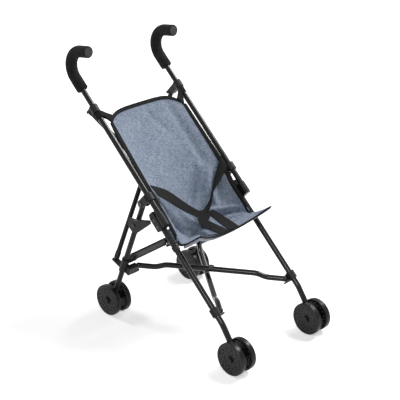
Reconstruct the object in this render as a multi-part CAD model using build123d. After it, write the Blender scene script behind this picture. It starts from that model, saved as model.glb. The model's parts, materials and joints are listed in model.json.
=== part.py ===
from build123d import *
import os
from math import atan2, cos, degrees, hypot, radians, sin, tan

# Doll stroller with an umbrella fold: two leaning side frames, two rear legs, crossed braces
# behind and below, four pairs of wheels and a cloth sling seat with a harness.
# World frame: millimetres, +Z up, +X to the right of someone facing the front, front towards -Y.
# Side frame coordinates are (x, behind, along): along runs up the handle tube, behind points
# square to it, down and to the rear, and the handle tube's own axis is behind = 0.
# Leg coordinates are (x, ahead, down): down runs along the rear leg from its pivot.

# Wheels and stance
WHEEL_RADIUS = 33.0
WHEEL_WIDTH = 12.0
PAIR_SPACING = 27.6
WHEELBASE = 342.0
TREAD_ROUNDING = 2.5
TREAD_GROOVE_WIDTH = 1.0
TREAD_GROOVE_DEPTH = 0.9
TREAD_GROOVE_OFFSET = 2.2
WELL_DEPTH = 8.0
RIM_WALL = 4.0
HUB_RADIUS = 8.5
FACE_GROOVE_INNER = 12.5
FACE_GROOVE_OUTER = 26.5
FACE_GROOVE_WIDTH = 1.2
FACE_GROOVE_DEPTH = 0.8
HOLE_RADIUS = 1.6
HOLES_PER_RING = 12
HOLE_RING_INNER = 17.5
HOLE_RING_OUTER = 22.2
AXLE_RADIUS = 3.0
AXLE_CAP_RADIUS = 7.5
AXLE_CAP_LENGTH = 2.8
AXLE_CAP_GRIP = 1.6
CAP_SLOT_RADIUS = 1.1
CAP_SLOT_OUT = 5.0
CAP_SLOT_DEPTH = 1.0

# Side frames
LEAN = 47.0
HANDLE_FOOT_Y = -251.9
HANDLE_X = 114.0
HANDLE_RADIUS = 5.75
FRONT_X = 110.0
FRONT_RADIUS = 5.9
FRONT_BEHIND = 17.0
FRONT_BEND_ALONG = 146.0
FRONT_BEND_RADIUS = 60.0
TUBE_WALL = 1.0
TUBE_END_PAST_AXLE = 8.0
GRIP_RADIUS = 11.8
GRIP_START = 680.0
GRIP_BEND_START = 709.6
GRIP_BEND_RADIUS = 33.0
GRIP_TURN = 129.0
GRIP_TAIL = 26.0
GRIP_ROUNDING = 2.0
PLUG_RADIUS = 9.5
PLUG_THICKNESS = 2.0
PLUG_STEM = 12.0

# Joiner block between the handle tube and the front tube
JOINER_LOW = 360.0
JOINER_HIGH = 399.0
JOINER_STEP = 386.0
JOINER_WALL = 2.2
JOINER_SIDE_WALL = 1.2
JOINER_SLEEVE_WALL = 1.4
JOINER_OUTER = 10.5
JOINER_SEAT = 5.0
JOINER_CHAMFER = 8.0
EDGE_ROUNDING = 1.2

# Rear legs
LEG_X = 115.0
LEG_RADIUS = 5.5
LEG_PIVOT_BEHIND = 21.8
LEG_PIVOT_ALONG = 424.7
LEG_TOP = 7.0
PIVOT_CHEEK = 3.0
PIVOT_CHEEK_RADIUS = 8.0
PIVOT_PIN_RADIUS = 2.5

# Clamps
CLAMP_WALL = 3.2
CLAMP_LENGTH = 16.0
SEAT_CLIP_WALL = 1.4
SEAT_CLIP_LENGTH = 9.0

# Back braces: crossed rods from the handle tubes down to the opposite rear legs
BRACE_RADIUS = 5.0
BRACE_ALONG = 633.2
BRACE_FRONT_BEHIND = 14.3
BRACE_REAR_BEHIND = 32.0
BRACE_BELOW_LINK = 12.0
BRACE_FRONT_OFF = 16.0
BRACE_REAR_OFF = 24.0
BALL_RADIUS = 6.0
HOOD_LOW = 3.0
HOOD_HIGH = 8.0
CUP_GAP = 0.3
BRACE_CAP_RADIUS = 5.8
BRACE_CAP_LENGTH = 12.0

# Seat braces: crossed rods below the seat, from the front tubes back to the opposite legs
SEAT_BRACE_RADIUS = 5.7
SEAT_BRACE_ALONG = 172.0
SEAT_BRACE_BEHIND = 21.8
SEAT_BRACE_X = 93.0
SEAT_BRACE_TAIL_X = 85.0
SEAT_BRACE_BELOW_LINK = 18.0
SEAT_BRACE_AHEAD = 12.0
SEAT_BRACE_BOW = 7.0
SEAT_BRACE_STRAIGHT = 0.12
SEAT_BRACE_EASE = 0.07
SEAT_BRACE_BEND = 40.0
LEDGE = 3.0
CROSS_PIN_RADIUS = 2.5
CROSS_HEAD_RADIUS = 6.0
CROSS_HEAD = 1.2

# Rear links: two flat bars that meet between the rear legs
LINK_X = 93.0
LINK_DOWN = 152.0
LINK_DROP = 4.0
LINK_THICKNESS = 5.0
LINK_LAYER_GAP = 0.6
LINK_BAND = 12.0
LINK_BEAD_DROP = 13.5
LINK_BEAD_START = 13.0
LINK_WEB = 3.0
LINK_END_RADIUS = 8.0
LINK_PIN_RADIUS = 2.5

# Lower bracket on the rear leg
BRACKET_HALF = 15.0
BRACKET_WALL = 2.5
BRACKET_PLATE = 5.0

# Lock lever and its bracket
LOCK_DOWN = 55.0
LOCK_HALF = 9.0
LOCK_WALL = 1.3
LOCK_BOSS_RADIUS = 7.0
LEVER_THICKNESS = 3.0
LEVER_OUTLINE = [(-15, -9), (-2, -15), (34, -41), (38, -35), (13, 10), (0, 15), (-15, 9)]
LEVER_FLANGE = 5.5
LEVER_FLANGE_THICKNESS = 2.6

# Seat cloth, binding and harness
CLOTH = 1.2
BINDING_WIDTH = 4.6
BINDING_THICKNESS = 2.6
SEAM_GAP = 0.6
TAB_WALL = 1.6
TAB_LENGTH = 14.0
SEAT_COLUMNS = 12
STRAP_WIDTH = 20.0
STRAP_THICKNESS = 1.6
HARNESS_PATCH = 24.0
HARNESS_GAP = 0.9
HARNESS_LIFT = 21.0
CROTCH_STRAP_BEHIND = 3.0
CROTCH_STRAP_ABOVE = 5.5

# Fits
RUNNING_CLEARANCE = 0.05
SEAT_CLEARANCE = 0.02
SIDE_CLEARANCE = 0.6
RIVET_RADIUS = 2.2
RIVET_HEAD = 1.4
HEAD_SPREAD = 1.7

# Places worked out from the sizes above
LEVER_INNER_X = LEG_X + LEG_RADIUS + LOCK_WALL + CUP_GAP
BRACE_DOWN = LINK_DOWN + BRACE_BELOW_LINK
SEAT_BRACE_DOWN = LINK_DOWN + SEAT_BRACE_BELOW_LINK
BRACKET_ARM_X = SEAT_BRACE_TAIL_X + BALL_RADIUS + CUP_GAP
S = sin(radians(LEAN))
C = cos(radians(LEAN))


def frame_coordinates(y, z):
    """Side frame (behind, along) of a point given in the upright plane, y from the wheelbase centre."""
    forward = y - HANDLE_FOOT_Y
    return forward * C - z * S, forward * S + z * C


FRONT_AXLE = frame_coordinates(-WHEELBASE / 2, WHEEL_RADIUS)
REAR_AXLE = frame_coordinates(WHEELBASE / 2, WHEEL_RADIUS)
LEG_RUN = (REAR_AXLE[0] - LEG_PIVOT_BEHIND, REAR_AXLE[1] - LEG_PIVOT_ALONG)
LEG_LENGTH = hypot(*LEG_RUN)
LEG_ANGLE = degrees(atan2(LEG_RUN[0], -LEG_RUN[1]))

# The handle's hook: a straight run, an arc and a straight tail, written as a filleted corner
GRIP_TANGENT = GRIP_BEND_RADIUS * tan(radians(GRIP_TURN / 2))
GRIP_CORNER = GRIP_BEND_START + GRIP_TANGENT
GRIP_AIM = (-sin(radians(GRIP_TURN)), cos(radians(GRIP_TURN)))

# Depth of the whole object, so that its middle stands on the origin
GRIP_ARC_Y = HANDLE_FOOT_Y + GRIP_BEND_START * S - GRIP_BEND_RADIUS * C
DEPTH_FRONT = -WHEELBASE / 2 - WHEEL_RADIUS
DEPTH_BACK = GRIP_ARC_Y + GRIP_BEND_RADIUS + GRIP_RADIUS
SHIFT_Y = -(DEPTH_FRONT + DEPTH_BACK) / 2

FRAME = Plane(origin=(0, HANDLE_FOOT_Y + SHIFT_Y, 0), x_dir=(1, 0, 0), z_dir=(0, S, C))
LEG_S = sin(radians(LEG_ANGLE))
LEG_C = cos(radians(LEG_ANGLE))
LEG = Plane(origin=(0, LEG_PIVOT_BEHIND, LEG_PIVOT_ALONG), x_dir=(1, 0, 0), z_dir=(0, LEG_S, -LEG_C))


def leg_point(x, ahead, down):
    """Leg coordinates turned into side frame coordinates."""
    behind = LEG_PIVOT_BEHIND + down * LEG_S - ahead * LEG_C
    along = LEG_PIVOT_ALONG - down * LEG_C - ahead * LEG_S
    return (x, behind, along)


def in_frame(shape):
    return FRAME.location * shape


def in_leg(shape):
    return FRAME.location * LEG.location * shape


def other_side(shape):
    return mirror(shape, about=Plane.YZ)


# Shapes used again and again
def rod(start, end, radius):
    run = Vector(*end) - Vector(*start)
    bottom = (Align.CENTER, Align.CENTER, Align.MIN)
    return Plane(origin=start, z_dir=run) * Cylinder(radius, run.length, align=bottom)


def pipe(start, end, radius, wall):
    return rod(start, end, radius) - rod(start, end, radius - wall)


def swept(points, bend, radius, inner=0.0):
    """Round bar or tube along straight runs joined by tangent arcs."""
    path = FilletPolyline(*points, radius=bend)
    section = Circle(radius)
    if inner > 0:
        section = section - Circle(inner)
    return sweep(Plane(origin=path @ 0, z_dir=path % 0) * section, path=path)


def block(xs, behinds, alongs):
    size = [abs(pair[1] - pair[0]) for pair in (xs, behinds, alongs)]
    middle = [(pair[1] + pair[0]) / 2 for pair in (xs, behinds, alongs)]
    return Pos(*middle) * Box(*size)


def ball(centre, radius):
    return Pos(*centre) * Sphere(radius)


def rivet(start, end, radius, head):
    """Pin with a low round head on both ends, the heads lying outside the stated length."""
    run = (Vector(*end) - Vector(*start)).normalized()
    low = Vector(*start) - run * head
    high = Vector(*end) + run * head
    pin = rod(start, end, radius)
    wide = radius * HEAD_SPREAD
    heads = rod(tuple(low), start, wide) + rod(end, tuple(high), wide)
    return pin + heads


def save(name, *shapes):
    solids = [solid for shape in shapes for solid in shape.solids()]
    whole = solids[0] if len(solids) == 1 else Compound(children=solids)
    export_step(whole, os.path.join("parts", name + ".step"))


# Wheels
def flat_band(radius, width, height):
    """Ring of square section centred on a radius, for a groove round the wheel's axis."""
    return Cylinder(radius + width / 2, height) - Cylinder(radius - width / 2, height)


def wheel(x, side, axle, place):
    """One wheel, hollow towards its fork, with a grooved tread and two rings of small holes in its face."""
    disc = Cylinder(WHEEL_RADIUS, WHEEL_WIDTH)
    disc = fillet(disc.edges().filter_by(GeomType.CIRCLE), TREAD_ROUNDING)
    well = Cylinder(WHEEL_RADIUS - RIM_WALL, WELL_DEPTH) - Cylinder(HUB_RADIUS, WELL_DEPTH)
    disc -= Pos(0, 0, (WELL_DEPTH - WHEEL_WIDTH) / 2) * well
    tread = flat_band(WHEEL_RADIUS, TREAD_GROOVE_DEPTH * 2, TREAD_GROOVE_WIDTH)
    for offset in (-TREAD_GROOVE_OFFSET, TREAD_GROOVE_OFFSET):
        disc -= Pos(0, 0, offset) * tread
    for radius in (FACE_GROOVE_INNER, FACE_GROOVE_OUTER):
        groove = flat_band(radius, FACE_GROOVE_WIDTH, FACE_GROOVE_DEPTH)
        disc -= Pos(0, 0, (WHEEL_WIDTH - FACE_GROOVE_DEPTH) / 2) * groove
    step = 360.0 / HOLES_PER_RING
    holes = []
    for index in range(HOLES_PER_RING):
        for radius, offset in ((HOLE_RING_OUTER, 0), (HOLE_RING_INNER, step / 2)):
            spot = Rot(0, 0, step * index + offset) * Pos(radius, 0, 0)
            holes.append(spot * Cylinder(HOLE_RADIUS, WHEEL_WIDTH))
    disc -= holes
    disc -= Cylinder(AXLE_RADIUS + RUNNING_CLEARANCE, WHEEL_WIDTH)
    return place(Pos(x, *axle) * Rot(0, 90 * side, 0) * disc)


def axle_set(x, axle, place):
    """Axle pin with a slotted push-on cap at each end."""
    pin_half = PAIR_SPACING / 2 + WHEEL_WIDTH / 2 + CUP_GAP + AXLE_CAP_GRIP
    cap_start = pin_half - AXLE_CAP_GRIP
    pin = rod((x - pin_half, *axle), (x + pin_half, *axle), AXLE_RADIUS)
    caps = []
    for side in (-1, 1):
        inner = x + side * cap_start
        outer = x + side * (cap_start + AXLE_CAP_LENGTH)
        slot_floor = outer - side * CAP_SLOT_DEPTH
        cap = rod((inner, *axle), (outer, *axle), AXLE_CAP_RADIUS) - pin
        for offset in (-CAP_SLOT_OUT, CAP_SLOT_OUT):
            spot = (axle[0] + offset, axle[1])
            cap -= rod((slot_floor, *spot), (outer, *spot), CAP_SLOT_RADIUS)
        caps.append(cap)
    return [place(shape) for shape in (pin, *caps)]


# Side frames, written for the right-hand side
def handle_tube():
    tail = GRIP_TANGENT + GRIP_TAIL - PLUG_THICKNESS
    points = [
        (HANDLE_X, 0, JOINER_LOW + JOINER_SEAT),
        (HANDLE_X, 0, GRIP_CORNER),
        (HANDLE_X, GRIP_AIM[0] * tail, GRIP_CORNER + GRIP_AIM[1] * tail),
    ]
    return swept(points, GRIP_BEND_RADIUS, HANDLE_RADIUS, HANDLE_RADIUS - TUBE_WALL)


def grip():
    tail = GRIP_TANGENT + GRIP_TAIL
    end = (HANDLE_X, GRIP_AIM[0] * tail, GRIP_CORNER + GRIP_AIM[1] * tail)
    points = [(HANDLE_X, 0, GRIP_START), (HANDLE_X, 0, GRIP_CORNER), end]
    sleeve = swept(points, GRIP_BEND_RADIUS, GRIP_RADIUS, HANDLE_RADIUS + SEAT_CLEARANCE)
    rims = [edge for edge in sleeve.edges() if edge.geom_type == GeomType.CIRCLE]
    rims = [edge for edge in rims if abs(edge.radius - GRIP_RADIUS) < SEAT_CLEARANCE]
    ends = [edge for edge in rims if is_grip_end(edge.arc_center, end)]
    sleeve = fillet(ends, GRIP_ROUNDING)
    aim = Vector(0, *GRIP_AIM)
    return sleeve - rod(tuple(Vector(*end) - aim * PLUG_THICKNESS), end, PLUG_RADIUS)


def is_grip_end(spot, end):
    at_start = abs(spot.Z - GRIP_START) < SEAT_CLEARANCE and abs(spot.Y) < SEAT_CLEARANCE
    at_end = (spot - Vector(*end)).length < SEAT_CLEARANCE
    return at_start or at_end


def grip_plug():
    aim = Vector(0, *GRIP_AIM)
    tail = GRIP_TANGENT + GRIP_TAIL
    end = Vector(HANDLE_X, GRIP_AIM[0] * tail, GRIP_CORNER + GRIP_AIM[1] * tail)
    seat = end - aim * PLUG_THICKNESS
    stem = rod(tuple(seat - aim * PLUG_STEM), tuple(seat), HANDLE_RADIUS - TUBE_WALL - SEAT_CLEARANCE)
    return stem + rod(tuple(seat), tuple(end), PLUG_RADIUS - SEAT_CLEARANCE)


def front_route():
    """Middle line of the front tube: straight down the frame, then bent towards the axle."""
    aim = Vector(0, FRONT_AXLE[0] - FRONT_BEHIND, FRONT_AXLE[1] - FRONT_BEND_ALONG).normalized()
    foot = Vector(FRONT_X, *FRONT_AXLE) + aim * TUBE_END_PAST_AXLE
    top = (FRONT_X, FRONT_BEHIND, JOINER_HIGH - JOINER_SEAT)
    return [top, (FRONT_X, FRONT_BEHIND, FRONT_BEND_ALONG), tuple(foot)]


def front_tube():
    tube = swept(front_route(), FRONT_BEND_RADIUS, FRONT_RADIUS, FRONT_RADIUS - TUBE_WALL)
    across = rod((FRONT_X - FRONT_RADIUS, *FRONT_AXLE), (FRONT_X + FRONT_RADIUS, *FRONT_AXLE), AXLE_RADIUS)
    return tube - across


def joiner():
    """Block round the front tube's top end with a slim sleeve on its front for the handle tube's foot."""
    xs = (FRONT_X - FRONT_RADIUS - JOINER_SIDE_WALL, FRONT_X + JOINER_OUTER)
    back = FRONT_BEHIND + FRONT_RADIUS + JOINER_WALL
    step = FRONT_BEHIND - FRONT_RADIUS - JOINER_WALL
    body = block(xs, (step, back), (JOINER_LOW, JOINER_HIGH))
    top_edge = body.edges().filter_by(Axis.X).group_by(Axis.Z)[-1].sort_by(Axis.Y)[-1]
    body = chamfer(top_edge, JOINER_CHAMFER, JOINER_CHAMFER / 2)
    body = fillet(body.edges().filter_by(Axis.X), EDGE_ROUNDING)
    sleeve = HANDLE_RADIUS + JOINER_SLEEVE_WALL
    body += rod((HANDLE_X, 0, JOINER_LOW), (HANDLE_X, 0, JOINER_STEP), sleeve)
    neck_xs = (HANDLE_X - HANDLE_RADIUS, FRONT_X + JOINER_OUTER - EDGE_ROUNDING)
    body += block(neck_xs, (0, step + JOINER_WALL), (JOINER_LOW, JOINER_STEP))
    handle_hole = rod((HANDLE_X, 0, JOINER_LOW + JOINER_SEAT), (HANDLE_X, 0, JOINER_HIGH), HANDLE_RADIUS)
    front_end = (FRONT_X, FRONT_BEHIND, JOINER_HIGH - JOINER_SEAT)
    front_hole = rod((FRONT_X, FRONT_BEHIND, JOINER_LOW), front_end, FRONT_RADIUS)
    return body - handle_hole - front_hole


def ring_clamp(x, behind, along, tube_radius):
    """Ring that grips a frame tube."""
    half = CLAMP_LENGTH / 2
    low = (x, behind, along - half)
    high = (x, behind, along + half)
    return rod(low, high, tube_radius + CLAMP_WALL), rod(low, high, tube_radius)


def pivot_clamp():
    """Clamp on the handle tube with a fork that holds the rear leg's pivot pin."""
    ring, tube = ring_clamp(HANDLE_X, 0, LEG_PIVOT_ALONG, HANDLE_RADIUS)
    gap = LEG_RADIUS + SIDE_CLEARANCE
    pivot = (LEG_PIVOT_BEHIND, LEG_PIVOT_ALONG)
    alongs = (LEG_PIVOT_ALONG - PIVOT_CHEEK_RADIUS, LEG_PIVOT_ALONG + PIVOT_CHEEK_RADIUS)
    body = ring
    for side in (-1, 1):
        inner = LEG_X + side * gap
        outer = LEG_X + side * (gap + PIVOT_CHEEK)
        body += block((inner, outer), (0, LEG_PIVOT_BEHIND), alongs)
        body += rod((inner, *pivot), (outer, *pivot), PIVOT_CHEEK_RADIUS)
    pin = rod((LEG_X - gap - PIVOT_CHEEK, *pivot), (LEG_X + gap + PIVOT_CHEEK, *pivot), PIVOT_PIN_RADIUS)
    return body - tube - pin


def pivot_pin():
    reach = LEG_RADIUS + SIDE_CLEARANCE + PIVOT_CHEEK
    pivot = (LEG_PIVOT_BEHIND, LEG_PIVOT_ALONG)
    return rivet((LEG_X - reach, *pivot), (LEG_X + reach, *pivot), PIVOT_PIN_RADIUS, RIVET_HEAD)


def upper_bracket(behind):
    """Clamp high on the handle tube with a cup for a back brace's ball end."""
    ring, tube = ring_clamp(HANDLE_X, 0, BRACE_ALONG, HANDLE_RADIUS)
    stem_xs = (HANDLE_X - BALL_RADIUS, HANDLE_X + BALL_RADIUS)
    stem_end = behind - BRACE_RADIUS - SIDE_CLEARANCE
    body = ring + block(stem_xs, (0, stem_end), (BRACE_ALONG - BALL_RADIUS, BRACE_ALONG + BALL_RADIUS))
    hood = (BRACE_ALONG + HOOD_LOW, BRACE_ALONG + HOOD_HIGH)
    body += block(stem_xs, (0, behind + BALL_RADIUS), hood)
    cup = ball((HANDLE_X, behind, BRACE_ALONG), BALL_RADIUS + CUP_GAP)
    return body - cup - tube


def front_bracket():
    """Clamp low on the front tube with a pad beside a seat brace's ball end and a ledge below it."""
    ring = ring_clamp(FRONT_X, FRONT_BEHIND, SEAT_BRACE_ALONG, FRONT_RADIUS)[0]
    reach = BALL_RADIUS + CUP_GAP
    behinds = (FRONT_BEHIND, SEAT_BRACE_BEHIND + BALL_RADIUS)
    ledge = (SEAT_BRACE_ALONG - reach - LEDGE, SEAT_BRACE_ALONG - reach)
    pad = block((SEAT_BRACE_X + reach, FRONT_X), behinds, (ledge[0], SEAT_BRACE_ALONG + BALL_RADIUS))
    body = ring + pad + block((SEAT_BRACE_X - BALL_RADIUS / 2, FRONT_X), behinds, ledge)
    return body - swept(front_route(), FRONT_BEND_RADIUS, FRONT_RADIUS)


def seat_clip():
    """Clip on the front tube that holds the seat's lower corner."""
    along = SEAT_EDGE[-2][2]
    low = (FRONT_X, FRONT_BEHIND, along - SEAT_CLIP_LENGTH / 2)
    high = (FRONT_X, FRONT_BEHIND, along + SEAT_CLIP_LENGTH / 2)
    return pipe(low, high, FRONT_RADIUS + SEAT_CLIP_WALL, SEAT_CLIP_WALL)


def frame_rivets():
    """Rivets through the joiner block, clamp screws and the leg's pivot pin."""
    out = FRONT_X + JOINER_OUTER
    alongs = (JOINER_LOW + JOINER_CHAMFER, JOINER_HIGH - JOINER_CHAMFER * 2)
    spots = [(FRONT_BEHIND, along) for along in alongs]
    heads = [rod((out, *spot), (out + RIVET_HEAD / 2, *spot), RIVET_RADIUS * HEAD_SPREAD) for spot in spots]
    return [pivot_pin(), *heads]


# Rear legs, in leg coordinates
def rear_leg():
    tube = pipe((LEG_X, 0, -LEG_TOP), (LEG_X, 0, LEG_LENGTH + TUBE_END_PAST_AXLE), LEG_RADIUS, TUBE_WALL)
    tube -= rod((0, 0, 0), (LEG_X * 2, 0, 0), PIVOT_PIN_RADIUS + RUNNING_CLEARANCE)
    return tube - rod((0, 0, LEG_LENGTH), (LEG_X * 2, 0, LEG_LENGTH), AXLE_RADIUS)


def link_layer(layer):
    """Middle of a link's thickness, ahead of the leg's axis, for layer +1 or -1."""
    return layer * (LINK_THICKNESS + LINK_LAYER_GAP) / 2


def lower_bracket(brace_off, layer):
    """Sleeve on the leg with a ledge under a back brace, a tongue under a seat brace and a link ear."""
    shell = LEG_RADIUS + BRACKET_WALL
    foot = SEAT_BRACE_DOWN + BALL_RADIUS + CUP_GAP + BRACKET_PLATE
    body = rod((LEG_X, 0, BRACE_DOWN - BRACKET_HALF), (LEG_X, 0, foot), shell)
    ledge = BRACE_DOWN + BRACE_CAP_RADIUS + SIDE_CLEARANCE
    ledge_xs = (LEG_X - BRACE_CAP_RADIUS, LEG_X + BRACE_CAP_RADIUS)
    body += block(ledge_xs, (-brace_off - BRACE_CAP_RADIUS, 0), (ledge, ledge + BRACKET_PLATE))
    arm = (SEAT_BRACE_AHEAD - BALL_RADIUS, SEAT_BRACE_AHEAD + BALL_RADIUS)
    arm_downs = (SEAT_BRACE_DOWN - SEAT_BRACE_RADIUS, foot)
    body += block((BRACKET_ARM_X, LEG_X), arm, arm_downs)
    body += block((LEG_X - shell, LEG_X), (0, arm[1]), arm_downs)
    tongue = (SEAT_BRACE_AHEAD - SEAT_BRACE_RADIUS, SEAT_BRACE_AHEAD + SEAT_BRACE_RADIUS)
    body += block((LINK_X - LINK_END_RADIUS, BRACKET_ARM_X), tongue, (foot - BRACKET_PLATE, foot))
    middle = link_layer(-layer)
    sheet = (middle - LINK_THICKNESS / 2, middle + LINK_THICKNESS / 2)
    body += block((LINK_X, LEG_X), sheet, (LINK_DOWN - LINK_END_RADIUS, LINK_DOWN + LINK_END_RADIUS))
    body += rod((LINK_X, sheet[0], LINK_DOWN), (LINK_X, sheet[1], LINK_DOWN), LINK_END_RADIUS)
    body -= rod((LINK_X, sheet[0], LINK_DOWN), (LINK_X, sheet[1], LINK_DOWN), LINK_PIN_RADIUS)
    return body - rod((LEG_X, 0, 0), (LEG_X, 0, LEG_LENGTH), LEG_RADIUS)


def lock_bracket():
    """Sleeve on the leg with a flat boss for the lock lever's pivot."""
    low = (LEG_X, 0, LOCK_DOWN - LOCK_HALF)
    high = (LEG_X, 0, LOCK_DOWN + LOCK_HALF)
    body = rod(low, high, LEG_RADIUS + LOCK_WALL)
    boss_end = LEVER_INNER_X - CUP_GAP
    body += rod((LEG_X, 0, LOCK_DOWN), (boss_end, 0, LOCK_DOWN), LOCK_BOSS_RADIUS)
    body -= rod((LEG_X, 0, LOCK_DOWN), (boss_end, 0, LOCK_DOWN), RIVET_RADIUS)
    return body - rod(low, high, LEG_RADIUS)


def leg_rivets(layer):
    """Lever pivot pin and link pivot pin."""
    lever_out = LEVER_INNER_X + LEVER_THICKNESS + CUP_GAP / 2
    lever_pin = rod((LEG_X + LEG_RADIUS, 0, LOCK_DOWN), (lever_out, 0, LOCK_DOWN), RIVET_RADIUS)
    head_end = lever_out + RIVET_HEAD
    lever_pin += rod((lever_out, 0, LOCK_DOWN), (head_end, 0, LOCK_DOWN), RIVET_RADIUS * HEAD_SPREAD)
    lever_pin -= rod((LEG_X, 0, LOCK_DOWN - LOCK_HALF), (LEG_X, 0, LOCK_DOWN + LOCK_HALF), LEG_RADIUS)
    far = link_layer(layer) + layer * (LINK_THICKNESS / 2 + CUP_GAP / 2)
    near = link_layer(-layer) - layer * LINK_THICKNESS / 2
    link_pin = rivet((LINK_X, near, LINK_DOWN), (LINK_X, far, LINK_DOWN), LINK_PIN_RADIUS, RIVET_HEAD)
    return [lever_pin, link_pin]


def lock_lever():
    """Quarter disc on the leg's outer side whose nose props against the joiner block."""
    corners = [(ahead, LOCK_DOWN + down) for ahead, down in LEVER_OUTLINE]
    side = Plane(origin=(LEVER_INNER_X, 0, 0), x_dir=(0, 1, 0), z_dir=(1, 0, 0))
    plate = extrude(side * make_face(Polyline(*corners, close=True)), LEVER_THICKNESS)
    plate = fillet(plate.edges().filter_by(Axis.X), EDGE_ROUNDING * 2)
    rim_start = Vector(*corners[1])
    rim_end = Vector(*corners[2])
    rim_run = (rim_end - rim_start).normalized()
    across = Vector(-rim_run.Y, rim_run.X)
    inset = EDGE_ROUNDING * 2
    rim = [rim_start + rim_run * inset, rim_end - rim_run * inset * 2]
    depth = across * LEVER_FLANGE_THICKNESS
    band = [rim[0], rim[1], rim[1] + depth, rim[0] + depth]
    band = [(spot.X, spot.Y) for spot in band]
    plate += extrude(side * make_face(Polyline(*band, close=True)), LEVER_THICKNESS + LEVER_FLANGE)
    hole = rod((0, 0, LOCK_DOWN), (LEG_X * 2, 0, LOCK_DOWN), RIVET_RADIUS + RUNNING_CLEARANCE)
    return plate - hole


# Crossed braces, in side frame coordinates
def brace_ends(behind, off):
    """Top and foot of the brace that hangs on the right-hand bracket and reaches the left-hand leg."""
    top = (HANDLE_X, behind, BRACE_ALONG)
    foot = leg_point(-LEG_X, -off, BRACE_DOWN)
    return Vector(*top), Vector(*foot)


def back_brace(behind, off):
    top, foot = brace_ends(behind, off)
    return rod(tuple(top), tuple(foot), BRACE_RADIUS) + ball(tuple(top), BALL_RADIUS)


def brace_cap(behind, off):
    """Rounded cap pushed over the brace's foot."""
    top, foot = brace_ends(behind, off)
    run = (foot - top).normalized()
    start = tuple(foot - run * BRACE_CAP_LENGTH)
    cap = rod(start, tuple(foot), BRACE_CAP_RADIUS) + ball(tuple(foot), BRACE_CAP_RADIUS)
    return cap - rod(start, tuple(foot), BRACE_RADIUS)


def seat_brace_points(lift):
    """Route of the seat brace held on the right-hand bracket, with its middle lifted or lowered."""
    head = Vector(SEAT_BRACE_X, SEAT_BRACE_BEHIND, SEAT_BRACE_ALONG)
    tail = Vector(*leg_point(-SEAT_BRACE_TAIL_X, SEAT_BRACE_AHEAD, SEAT_BRACE_DOWN))
    run = tail - head
    up = Vector(1, 0, 0).cross(run).normalized()
    up = up if up.Z > 0 else -up
    lifted = up * lift
    first = SEAT_BRACE_STRAIGHT
    last = 1 - SEAT_BRACE_STRAIGHT
    middle = [head + run * (first + SEAT_BRACE_EASE) + lifted, head + run * (last - SEAT_BRACE_EASE) + lifted]
    return [head, head + run * first, *middle, head + run * last, tail]


def seat_brace(lift):
    points = seat_brace_points(lift)
    bar = swept([tuple(point) for point in points], SEAT_BRACE_BEND, SEAT_BRACE_RADIUS)
    return bar + ball(tuple(points[0]), BALL_RADIUS) + ball(tuple(points[-1]), BALL_RADIUS)


def cross_pin(lift):
    """Pivot stud at the middle of the upper seat brace, its head on top."""
    points = seat_brace_points(lift)
    middle = (points[2] + points[3]) / 2
    unlifted = points[0] + (points[5] - points[0]) * (SEAT_BRACE_STRAIGHT + SEAT_BRACE_EASE)
    up = (points[2] - unlifted).normalized()
    top = middle + up * (SEAT_BRACE_RADIUS + CROSS_HEAD)
    stud = rod(tuple(middle), tuple(top), CROSS_PIN_RADIUS)
    head_base = middle + up * (SEAT_BRACE_RADIUS - CROSS_HEAD / 2)
    stud += rod(tuple(head_base), tuple(top), CROSS_HEAD_RADIUS)
    return stud - rod(tuple(points[2]), tuple(points[3]), SEAT_BRACE_RADIUS)


# Rear links, in leg coordinates, written for the right-hand leg
def rear_link(layer):
    """Flat bar with a bead along its lower edge, from the leg's ear to just past the middle."""
    middle = link_layer(layer)
    sheet = (middle - LINK_THICKNESS / 2, middle + LINK_THICKNESS / 2)
    length = LINK_X / cos(radians(LINK_DROP))
    band = block((-length, 0), sheet, (-LINK_BAND / 2, LINK_BAND / 2))
    band += rod((0, sheet[0], 0), (0, sheet[1], 0), LINK_BAND / 2)
    band += rod((-length, sheet[0], 0), (-length, sheet[1], 0), LINK_BAND / 2)
    bead_xs = (-length, -LINK_BEAD_START)
    bead_ends = [(x, middle, LINK_BEAD_DROP) for x in bead_xs]
    bead = rod(*bead_ends, LINK_THICKNESS / 2)
    web_half = LINK_WEB / 2
    web = block(bead_xs, (middle - web_half, middle + web_half), (LINK_BAND / 2, LINK_BEAD_DROP))
    bar = band + web + bead
    bar -= rod((0, sheet[0], 0), (0, sheet[1], 0), LINK_PIN_RADIUS + RUNNING_CLEARANCE)
    return Pos(LINK_X, 0, LINK_DOWN) * Rot(0, -LINK_DROP, 0) * bar


# Seat: edge line of the sling as (half width, behind, along) and its middle line as (behind, along),
# both from the top edge, down the back, under the seat and out to the front edge
SEAT_EDGE = [
    (99, -2, 603),
    (101, -1, 560),
    (101, 0, 500),
    (99, 2, 440),
    (96, 7, 385),
    (96, 12, 345),
    (96.8, 16, 316),
    (100, -49, 302),
]
SEAT_MIDDLE = [(2, 618), (6, 566), (14, 505), (26, 442), (40, 394), (48, 362), (19, 330), (-12, 301)]
SEAT_SQUARENESS = 3.0


def between(first, second, share):
    return [a + (b - a) * share for a, b in zip(first, second)]


def sling_point(across, row):
    """Point of the sling: across runs from -1 to 1, row counts along the lines above."""
    low = min(max(int(row), 0), len(SEAT_EDGE) - 2)
    share = row - low
    edge = between(SEAT_EDGE[low], SEAT_EDGE[low + 1], share)
    middle = between(SEAT_MIDDLE[low], SEAT_MIDDLE[low + 1], share)
    pull = 1 - min(abs(across), 1) ** SEAT_SQUARENESS
    behind, along = between(edge[1:], middle, pull)
    return Vector(across * edge[0], behind, along)


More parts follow.
